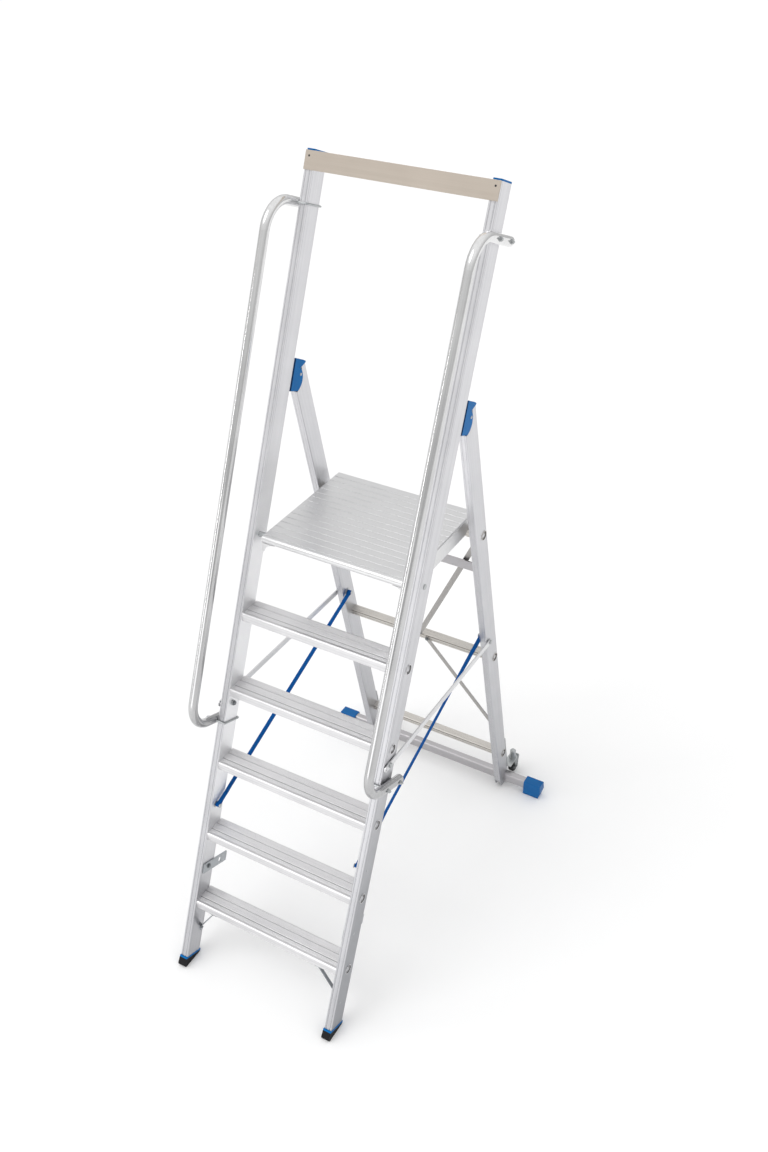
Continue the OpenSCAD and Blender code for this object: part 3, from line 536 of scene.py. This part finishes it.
def castor_tyre():
    """Black tyre round a grey hub, told apart by the distance from the axle."""
    finish = Finish("castor_tyre", Specular_IOR_Level=0.3)
    dust = finish.noise(finish.place, 120.0, 4.0, 0.6)
    centre = Vector((0, WHEEL_AXLE.y, WHEEL_AXLE.z))
    side = finish.vectors("MULTIPLY", finish.place, (0, 1, 1))
    reach = finish.vectors("DISTANCE", side, centre, output="Value")
    hub = finish.maths("LESS_THAN", reach, HUB_RADIUS)
    tone = 0.25 * dust + 0.75 * hub
    finish.feed("Base Color", finish.blend(tone, (0.006, 0.006, 0.007), (0.22, 0.225, 0.23)))
    finish.feed("Roughness", 0.7 - 0.25 * hub + 0.15 * dust)
    finish.bump(dust, 0.15, 0.0004)
    return finish.material


def sole_rubber():
    """Black rubber, dusty where it is rubbed."""
    finish = Finish("sole_rubber", Specular_IOR_Level=0.25)
    dust = finish.noise(finish.place, 70.0, 4.0, 0.6)
    grain = finish.noise(finish.place, 1200.0, 2.0)
    finish.feed("Base Color", finish.blend(dust, (0.003, 0.003, 0.004), (0.012, 0.012, 0.014)))
    finish.feed("Roughness", 0.62 + 0.22 * dust)
    finish.bump(grain, 0.15, 0.0004)
    return finish.material


def strap_webbing():
    """Flat woven webbing on the band's own map: ribs across it and threads along it."""
    finish = Finish("strap_webbing", Specular_IOR_Level=0.1, Sheen_Weight=0.04, Sheen_Roughness=0.5)
    band = finish.node("ShaderNodeTexCoord", output="UV")
    ribs = finish.node("ShaderNodeTexWave", {"bands_direction": "X"},
        {"Vector": band, "Scale": 290.0, "Distortion": 0.3})
    threads = finish.node("ShaderNodeTexWave", {"bands_direction": "Y"},
        {"Vector": band, "Scale": 340.0, "Distortion": 0.5})
    worn = finish.noise(band, 40.0, 2.0)
    weave = 0.45 * ribs + 0.3 * threads + 0.25 * worn
    finish.feed("Base Color", finish.blend(weave, (0.000, 0.060, 0.250), (0.001, 0.105, 0.390)))
    finish.feed("Roughness", 0.62 + 0.2 * ribs)
    finish.bump(0.6 * ribs + 0.4 * threads, 0.5, 0.0004)
    return finish.material


def stitch_thread():
    """Twisted thread, paler than the webbing."""
    finish = Finish("stitch_thread", Specular_IOR_Level=0.15)
    twist = finish.noise(finish.place, 1500.0, 2.0)
    finish.feed("Base Color", finish.blend(twist, (0.010, 0.095, 0.330), (0.030, 0.170, 0.480)))
    finish.feed("Roughness", 0.5 + 0.2 * twist)
    finish.bump(twist, 0.3, 0.0002)
    return finish.material


ZINC = zinc_plate()
BLUE = moulded_blue("moulded_blue")
HINGE_BLUE = moulded_blue("hinge_blue", stile_painted_shadow)
CAP_BLUE = cap_blue()
GAP = dark_gap()
STEEL = blackened_steel()
TYRE = castor_tyre()
RUBBER = sole_rubber()
WEBBING = strap_webbing()
THREAD = stitch_thread()

FINISH_OF = {
    "stile": STILE_METAL,
    "handrail": RAIL_METAL,
    "tread": TREAD_METAL,
    "platform": DECK_METAL,
    "traverse": TRAVERSE_METAL,
    "knee_braces": CATCH_METAL,
    "catch_plates": CATCH_METAL,
    "strut": STRUT_METAL,
    "diagonal": STAY_METAL,
    "crossbar": TRAVERSE_METAL,
    "rear_leg": LEG_METAL,
    "rung": RUNG_METAL,
    "platform_bearer": RUNG_METAL,
    "top_bar": BAR_METAL,
    "strap": WEBBING,
    "bolts": ZINC,
    "pins": ZINC,
    "nuts": ZINC,
    "axle": ZINC,
    "fork": STEEL,
    "castor_brackets": ZINC,
    "studs": ZINC,
    "eyes": ZINC,
    "anchors": ZINC,
    "hinge_bracket": HINGE_BLUE,
    "leg_plug": BLUE,
    "_cap": BLUE,
    "foot": BLUE,
    "sole": RUBBER,
    "traverse_cap": CAP_BLUE,
    "wheel": TYRE,
}


def finish_for(node):
    """The last listed word that a node's name holds decides its finish."""
    return [finish for word, finish in FINISH_OF.items() if word in node][-1]


for name, solid in NODES.items():
    solid.data.materials.clear()
    solid.data.materials.append(finish_for(name))


# Small pieces

SIDES = (-1, 1)
SHARP_FROM = math.radians(40)
SMALL_BEVEL = 0.0005


def piece(name, bm, finish, body=None):
    """Turns a bmesh into an object, which rides on a body if one is given."""
    bmesh.ops.recalc_face_normals(bm, faces=bm.faces)
    mesh = bpy.data.meshes.new(name)
    bm.to_mesh(mesh)
    bm.free()
    mesh.materials.append(finish)
    mesh.shade_smooth()
    mesh.set_sharp_from_angle(angle=SHARP_FROM)
    made = bpy.data.objects.new(name, mesh)
    bpy.context.scene.collection.objects.link(made)
    if body:
        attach(made, body)
    return made


def bevel(bm, edges):
    """Rounds sharp edges a little."""
    bmesh.ops.bevel(bm, geom=edges, offset=SMALL_BEVEL, segments=2, profile=0.5,
        affect="EDGES", material=-1)


def facing(place, axis):
    """Matrix that puts local Z along an axis at a place."""
    return Matrix.Translation(place) @ Vector(axis).to_track_quat("Z", "Y").to_matrix().to_4x4()


def fresh(bm):
    """Vertices that have not been put in place."""
    return [v for v in bm.verts if not v.tag]


def settle(bm):
    """Marks all vertices as in place. A bevel clears the marks."""
    for v in bm.verts:
        v.tag = True


def put(bm, matrix):
    """Moves the fresh vertices to their place."""
    bmesh.ops.transform(bm, matrix=matrix, verts=fresh(bm))
    settle(bm)


def turned(bm, profile, matrix, steps=24):
    """Spins a half profile of (radius, height) points about local Z."""
    made = [bm.verts.new((radius, 0, height)) for radius, height in profile]
    edges = [bm.edges.new(pair) for pair in zip(made, made[1:])]
    bmesh.ops.spin(bm, geom=made + edges, cent=(0, 0, 0), axis=(0, 0, 1),
        angle=2 * math.pi, steps=steps, use_merge=True)
    bmesh.ops.remove_doubles(bm, verts=fresh(bm), dist=1e-6)
    put(bm, matrix)


def dome(radius, height):
    """Half profile of a low rivet head that is let in a little."""
    sunk = -0.0004
    crown = [(0, 1), (0.55, 0.92), (0.85, 0.62), (1, 0.12)]
    return [(radius * r, height * h) for r, h in crown] + [(radius, sunk), (0, sunk)]


def rivets(name, body, places, radius, height, finish=ZINC):
    """Low heads at a list of places, each with the axis that it faces along."""
    bm = bmesh.new()
    for place, axis in places:
        turned(bm, dome(radius, height), facing(place, axis))
    piece(name, bm, finish, body)


def both_sides(x, place, axis):
    """A place at x and its mirror, each with the axis on its side."""
    return [(place(side * x), Vector((side * axis[0], axis[1], axis[2]))) for side in SIDES]


# Rivets as (up the stile, behind its front face)
STILE_RIVETS = ((0.953, 0.019), (0.951, 0.041), STRAP_ANCHOR, (0.384, 0.022), (0.132, 0.023))
HINGE_RIVET = (1.999, 0.119)
BAR_RIVET_DROP = 0.015
BAR_RIVET_INSET = 0.0125

outer_rivets = []
for s, n in STILE_RIVETS:
    outer_rivets += both_sides(OUT_X, lambda x, s=s, n=n: on_stile(x, n, s), (1, 0, 0))
rivets("stile_rivets", "front_frame", outer_rivets, radius=0.0042, height=0.0016)

bar_rivets = both_sides(OUT_X - BAR_RIVET_INSET,
    lambda x: on_stile(x, -BAR_THICK, STILE_TOP - BAR_RIVET_DROP), FORWARD)
rivets("top_bar_rivets", "front_frame", bar_rivets, radius=0.0030, height=0.0010, finish=GAP)

hinge_rivets = []
for x, outward in ((OUT_X, 1), (IN_X, -1)):
    hinge_rivets += both_sides(x, lambda x: on_stile(x, HINGE_RIVET[1], HINGE_RIVET[0]), (outward, 0, 0))
rivets("hinge_rivets", "front_frame", hinge_rivets, radius=0.0048, height=0.0016)


def tread_tube(k):
    """Middle of the tube under tread k."""
    back = k * TREAD_RISE * math.tan(STILE_LEAN)
    return Vector((0, FLOOR_Y + back + TUBE_BEHIND, k * TREAD_RISE - TUBE_BELOW))


def tube_ends(name, body, middles):
    """Domed ends that close the flared tubes on the frame's outer faces."""
    bm = bmesh.new()
    crown = [(0, 0.0010), (0.0040, 0.0008), (0.0066, 0), (0.0080, -0.0014)]
    profile = crown + [(0.0080, -0.0060), (0, -0.0060)]
    for middle in middles:
        for place, axis in both_sides(OUT_X, lambda x: Vector((x, middle.y, middle.z)), (1, 0, 0)):
            turned(bm, profile, facing(place, axis))
    piece(name, bm, LEG_METAL, body)


def tube_shadows(name, body, middles):
    """Painted shade in the lower rear part of each flare, a crescent on its cone."""
    bm = bmesh.new()
    section = [(0.0088, -0.0004), (0.0096, -0.0004), (0.0141, 0.00185), (0.0132, 0.00185)]
    on_end = Matrix(((0, 0, 1, 0), (1, 0, 0, 0), (0, 1, 0, 0), (0, 0, 0, 1)))
    start = Matrix.Rotation(math.radians(-150), 4, "Z")
    sweep = math.radians(230)
    for middle in middles:
        for side in SIDES:
            corners = [bm.verts.new((radius, 0, height)) for radius, height in section]
            face = bm.faces.new(corners)
            bmesh.ops.spin(bm, geom=[face, *face.edges, *corners], cent=(0, 0, 0), axis=(0, 0, 1),
                angle=sweep, steps=20)
            place = Matrix.Translation((side * OUT_X, middle.y, middle.z))
            put(bm, place @ Matrix.Diagonal((side, 1, 1, 1)) @ on_end @ start)
    piece(name, bm, GAP, body)


tread_tubes = [tread_tube(k) for k in range(1, TREADS + 1)]
rung_tubes = [leg_at(0, RUNG_BEHIND, z) for z in (UPPER_RUNG, *RUNG_HEIGHTS)]
tube_ends("tread_tube_ends", "front_frame", tread_tubes)
tube_ends("rung_tube_ends", "rear_frame", rung_tubes)
# Dark crescents of painted shade in the flared tube ends
tube_shadows("tread_tube_grease", "front_frame", tread_tubes)
tube_shadows("rung_tube_grease", "rear_frame", rung_tubes)

# Bolt heads as (radius across the corners, height, washer radius)
CATCH_BOLT = (0.0060, 0.004, 0.0090)
BRACE_BOLT = (0.0045, 0.004, 0.0054)
BRACE_SCREW = (0.0042, 0.003, 0.0052)
STRUT_BOLT = (0.0070, 0.004, 0.0085)
REAR_BOLT = (0.0060, 0.004, 0.0075)
STAY_SCREW = (0.0045, 0.003, 0.0054)
WASHER = 0.0012

# Places on the stiles' inner faces as (off the face, up the stile, behind its front)
CATCH_PLACE = (0.0043, 0.374, 0.036)
STRUT_PLACE = (0.0060, 0.960, 0.028)

# Thickness under the other heads, and how far back the stays' screws sit
BRACE_PLATE = 0.003
CROSSBAR_PLATE = 0.004
STAY_PLATE = 0.003
STAY_INSET = 0.006


def hex_bolts(name, body, bolts):
    """Hexagon heads on round washers, from rows of place, axis and bolt head."""
    bm = bmesh.new()
    for place, axis, (radius, height, washer) in bolts:
        matrix = facing(place, axis)
        rim = [(washer - 0.0003, WASHER), (washer, WASHER - 0.0003), (washer, -0.0002)]
        turned(bm, [(0, WASHER), *rim, (0, -0.0002)], matrix)
        raised = matrix @ Matrix.Translation((0, 0, WASHER + height / 2))
        head = bmesh.ops.create_cone(bm, cap_ends=True, segments=6, radius1=radius, radius2=radius,
            depth=height, matrix=raised)["verts"]
        bevel(bm, list(dict.fromkeys(e for v in head for e in v.link_edges)))
        settle(bm)
    piece(name, bm, STEEL, body)


def inner(x, place, head):
    """A bolt on each side whose head points to the middle."""
    return [(where, axis, head) for where, axis in both_sides(x, place, (-1, 0, 0))]


def inside_stile(place, head):
    """A bolt on each stile's inner face."""
    off, s, n = place
    return inner(IN_X - off, lambda x: on_stile(x, n, s), head)


BRACE_Y = FLOOR_Y + TREAD_RISE * math.tan(STILE_LEAN) + BRACE_BEHIND
front_bolts = inside_stile(CATCH_PLACE, CATCH_BOLT)
front_bolts += inner(IN_X - BRACE_PLATE, lambda x: Vector((x, BRACE_Y, BRACE_RISE)), BRACE_BOLT)
front_bolts += inside_stile(STRUT_PLACE, STRUT_BOLT)
for side in SIDES:
    under = Vector((side * (IN_X - BRACE_RUN), BRACE_Y, BRACE_TOP))
    front_bolts.append((under, (0, 0, -1), BRACE_SCREW))
hex_bolts("front_bolts", "front_frame", front_bolts)

# The diagonal stays' ends: two bolts on the middle rung as (across, height), and heights on the leg
STAY_BOLTS = ((0.011, 0.778), (0.038, 0.758))
STAY_SCREWS = (1.315, 0.374)
rear_bolts = inner(IN_X - CROSSBAR_PLATE, lambda x: leg_at(x, CROSSBAR_BEHIND, CROSSBAR_HEIGHT), REAR_BOLT)
for x, z in STAY_BOLTS:
    rear_bolts.append((leg_at(x, STAY_BEHIND, z), -BACKWARD, REAR_BOLT))
for z in STAY_SCREWS:
    end = on_leg(IN_X - STAY_PLATE, STAY_BEHIND + STAY_INSET, leg_t(z, STAY_BEHIND))
    rear_bolts.append((end, (-1, 0, 0), STAY_SCREW))
hex_bolts("rear_bolts", "rear_frame", rear_bolts)

LEG_BACK = LEG_DEPTH - LEG_AHEAD + BRACKET_PLATE
bracket_rivets = []
for rise in BRACKET_RIVETS:
    bracket_rivets += both_sides(MID_X, lambda x, z=BRACKET_FOOT + rise: leg_at(x, LEG_BACK, z), BACKWARD)
rivets("castor_bracket_rivets", "rear_frame", bracket_rivets, radius=0.0055, height=0.0018)


# Straps


def strap_path():
    """Inner side of the band as (along, above): lapped tail, loop round the stud, run, the same back."""
    loop = STRAP_STUD + 0.0003
    touch = 0.00005
    half = 0.5 * STRAP_LAP
    centred = STRAP_THICK / 2
    first = 1.5 * STRAP_LAP
    turns = [math.radians(a) for a in range(60, 301, 15)]
    tail = [(STRAP_LAP, touch), (half, touch), (STRAP_NECK, touch)]
    arc = [(loop * math.cos(a), loop * math.sin(a)) for a in turns]
    back = [(STRAP_NECK, -touch), (half, -touch), (1.1 * STRAP_LAP, -touch), (first, centred)]
    end = tail + arc + back
    step = (STRAP_SPAN - 2 * first) / STRAP_STEPS
    run = [(first + step * k, centred) for k in range(1, STRAP_STEPS)]
    return end + run + [(STRAP_SPAN - along, above) for along, above in reversed(end)]


def on_strap(side, inward, along, above):
    """Point on a strap: inward from its outer edge, along the run, above it."""
    place = STRAP_FROM + along * STRAP_RUN + above * STRAP_RISE
    return Vector((side * (STRAP_EDGE - inward), place.y, place.z))


def slacken(made):
    """Bakes a strap piece's place into its mesh. The end of the straight run and the far end are worked out
    first but not used.
    """
    on_strap(0, 0, STRAP_STRAIGHT, 0)
    on_strap(0, 0, STRAP_SPAN, 0)
    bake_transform(made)
    return made


def twisted(place, middle, twist):
    """Turns a point of a strap about its run, by nothing near the ends and fully between them."""
    along = (place - middle).dot(STRAP_RUN)
    ease = min(1.0, max(0.0, (min(along, STRAP_SPAN - along) - TWIST_FROM) / TWIST_OVER))
    turn = Matrix.Rotation(twist * ease * ease * (3 - 2 * ease), 3, STRAP_RUN)
    return middle + turn @ (place - middle)


def strap(side, node, twist):
    """Webbing band round two studs: a ribbon, made thick, its selvedges rounded, then twisted."""
    bm = bmesh.new()
    run = bm.verts.layers.float.new("run")
    width = bm.verts.layers.float.new("width")
    chain = [bm.verts.new(on_strap(side, 0, *step)) for step in strap_path()]
    edges = [bm.edges.new(pair) for pair in zip(chain, chain[1:])]
    for before, after in zip(chain, chain[1:]):
        after[run] = before[run] + (after.co - before.co).length
    grown = bmesh.ops.extrude_edge_only(bm, edges=edges)["geom"]
    moved = [g for g in grown if isinstance(g, bmesh.types.BMVert)]
    bmesh.ops.translate(bm, verts=moved, vec=(-side * STRAP_WIDTH, 0, 0))
    for vert in moved:
        vert[width] = STRAP_WIDTH
    bm.normal_update()
    bm.faces.ensure_lookup_table()
    if bm.faces[0].normal.dot(STRAP_RISE) > 0:
        bmesh.ops.reverse_faces(bm, faces=bm.faces)
    bmesh.ops.solidify(bm, geom=bm.faces, thickness=STRAP_THICK)
    lengthways = [e for e in bm.edges if abs(e.verts[0].co.x - e.verts[1].co.x) < 1e-6]
    bevel(bm, [e for e in lengthways if e.calc_face_angle(0) > 1])
    middle = on_strap(side, STRAP_WIDTH / 2, 0, 0)
    for vert in bm.verts:
        vert.co = twisted(vert.co, middle, twist)
    weave = bm.loops.layers.uv.new("weave")
    for face in bm.faces:
        for corner in face.loops:
            corner[weave].uv = (corner.vert[run], corner.vert[width])
    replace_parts(slacken(piece(node + "_webbing", bm, WEBBING)), node)


def stitching(name, first, last):
    """Rows of thread that close the lapped ends of both straps, on both faces."""
    bm = bmesh.new()
    turn = Matrix.Rotation(math.atan2(STRAP_RUN.z, STRAP_RUN.y), 4, "X")
    thin, long, high = STITCH_SIZE
    down = Matrix.Diagonal((thin, long, high, 1))
    over = Matrix.Diagonal((long, thin, high, 1))
    step = (last - first) / STITCH_ROW
    gap = (STRAP_WIDTH - 2 * STITCH_INSET) / STITCH_CROSS
    stitches = [(inward, first + step * (k + 0.5), down)
        for inward in (STITCH_INSET, STRAP_WIDTH - STITCH_INSET) for k in range(STITCH_ROW)]
    stitches += [(STITCH_INSET + gap * (k + 0.5), along, over)
        for along in (first, last) for k in range(STITCH_CROSS)]
    for side in SIDES:
        for inward, along, size in stitches:
            for face in SIDES:
                place = Matrix.Translation(on_strap(side, inward, along, face * STRAP_THICK))
                bmesh.ops.create_icosphere(bm, subdivisions=1, radius=1, matrix=place @ turn @ size)
    slacken(piece(name, bm, THREAD))


SEAM_FROM = 0.020
SEAM_TO = STRAP_LAP - 0.003
strap(-1, "left_strap", math.radians(12))
strap(1, "right_strap", math.radians(-34))
stitching("anchor_stitching", SEAM_FROM, SEAM_TO)
stitching("eye_stitching", STRAP_SPAN - SEAM_TO, STRAP_SPAN - SEAM_FROM)


# Stage


def stand(name, data, place=(0, 0, 0), back=None):
    """Object for a lamp or camera at a place, whose local Z points back."""
    made = bpy.data.objects.new(name, data)
    made.location = place
    if back:
        made.rotation_euler = Vector(back).to_track_quat("Z", "Y").to_euler()
    bpy.context.scene.collection.objects.link(made)
    return made


def floor():
    bm = bmesh.new()
    bmesh.ops.create_grid(bm, x_segments=1, y_segments=1, size=FLOOR_SIZE)
    pale = Finish("pale_floor", Roughness=0.9, Base_Color=FLOOR_WHITE)
    made = piece("floor", bm, pale.material)


def sky():
    """White tent: brightest overhead, dimmer towards the horizon."""
    world = bpy.data.worlds.new("studio")
    bpy.context.scene.world = world
    world.use_nodes = True
    tent = Nodes(world.node_tree)
    height = tent.axis(tent.node("ShaderNodeTexCoord", output="Generated"), "Z")
    stops = ((0.0, (HORIZON,) * 3), (ZENITH_FROM, (ZENITH,) * 3))
    level = tent.node("ShaderNodeValToRGB", {"stops": stops}, {0: height})
    tent.tree.links.new(level.socket, tent.tree.nodes["Background"].inputs["Color"])


def lamp(name, place, target, width, height, power):
    light = bpy.data.lights.new(name, "AREA")
    light.shape = "ELLIPSE"
    light.size = width
    light.size_y = height
    light.energy = power
    stand(name, light, place, Vector(place) - Vector(target))


def studio():
    sky()
    sun = bpy.data.lights.new("overhead", "SUN")
    sun.energy = SUN_POWER
    sun.angle = SUN_SPREAD
    stand("overhead", sun, back=SUN_FROM)
    for name, values in LAMPS.items():
        lamp(name, *values)
    bpy.context.scene.view_settings.view_transform = "Standard"


def camera():
    lens = bpy.data.cameras.new("camera")
    lens.sensor_width = SENSOR
    lens.lens = FOCAL_PIXELS * SENSOR / IMAGE_HEIGHT
    made = stand("camera", lens, CAMERA_PLACE)
    made.rotation_euler = (math.radians(90 - CAMERA_PITCH), 0, math.radians(CAMERA_YAW))
    bpy.context.scene.camera = made


floor()
studio()
camera()
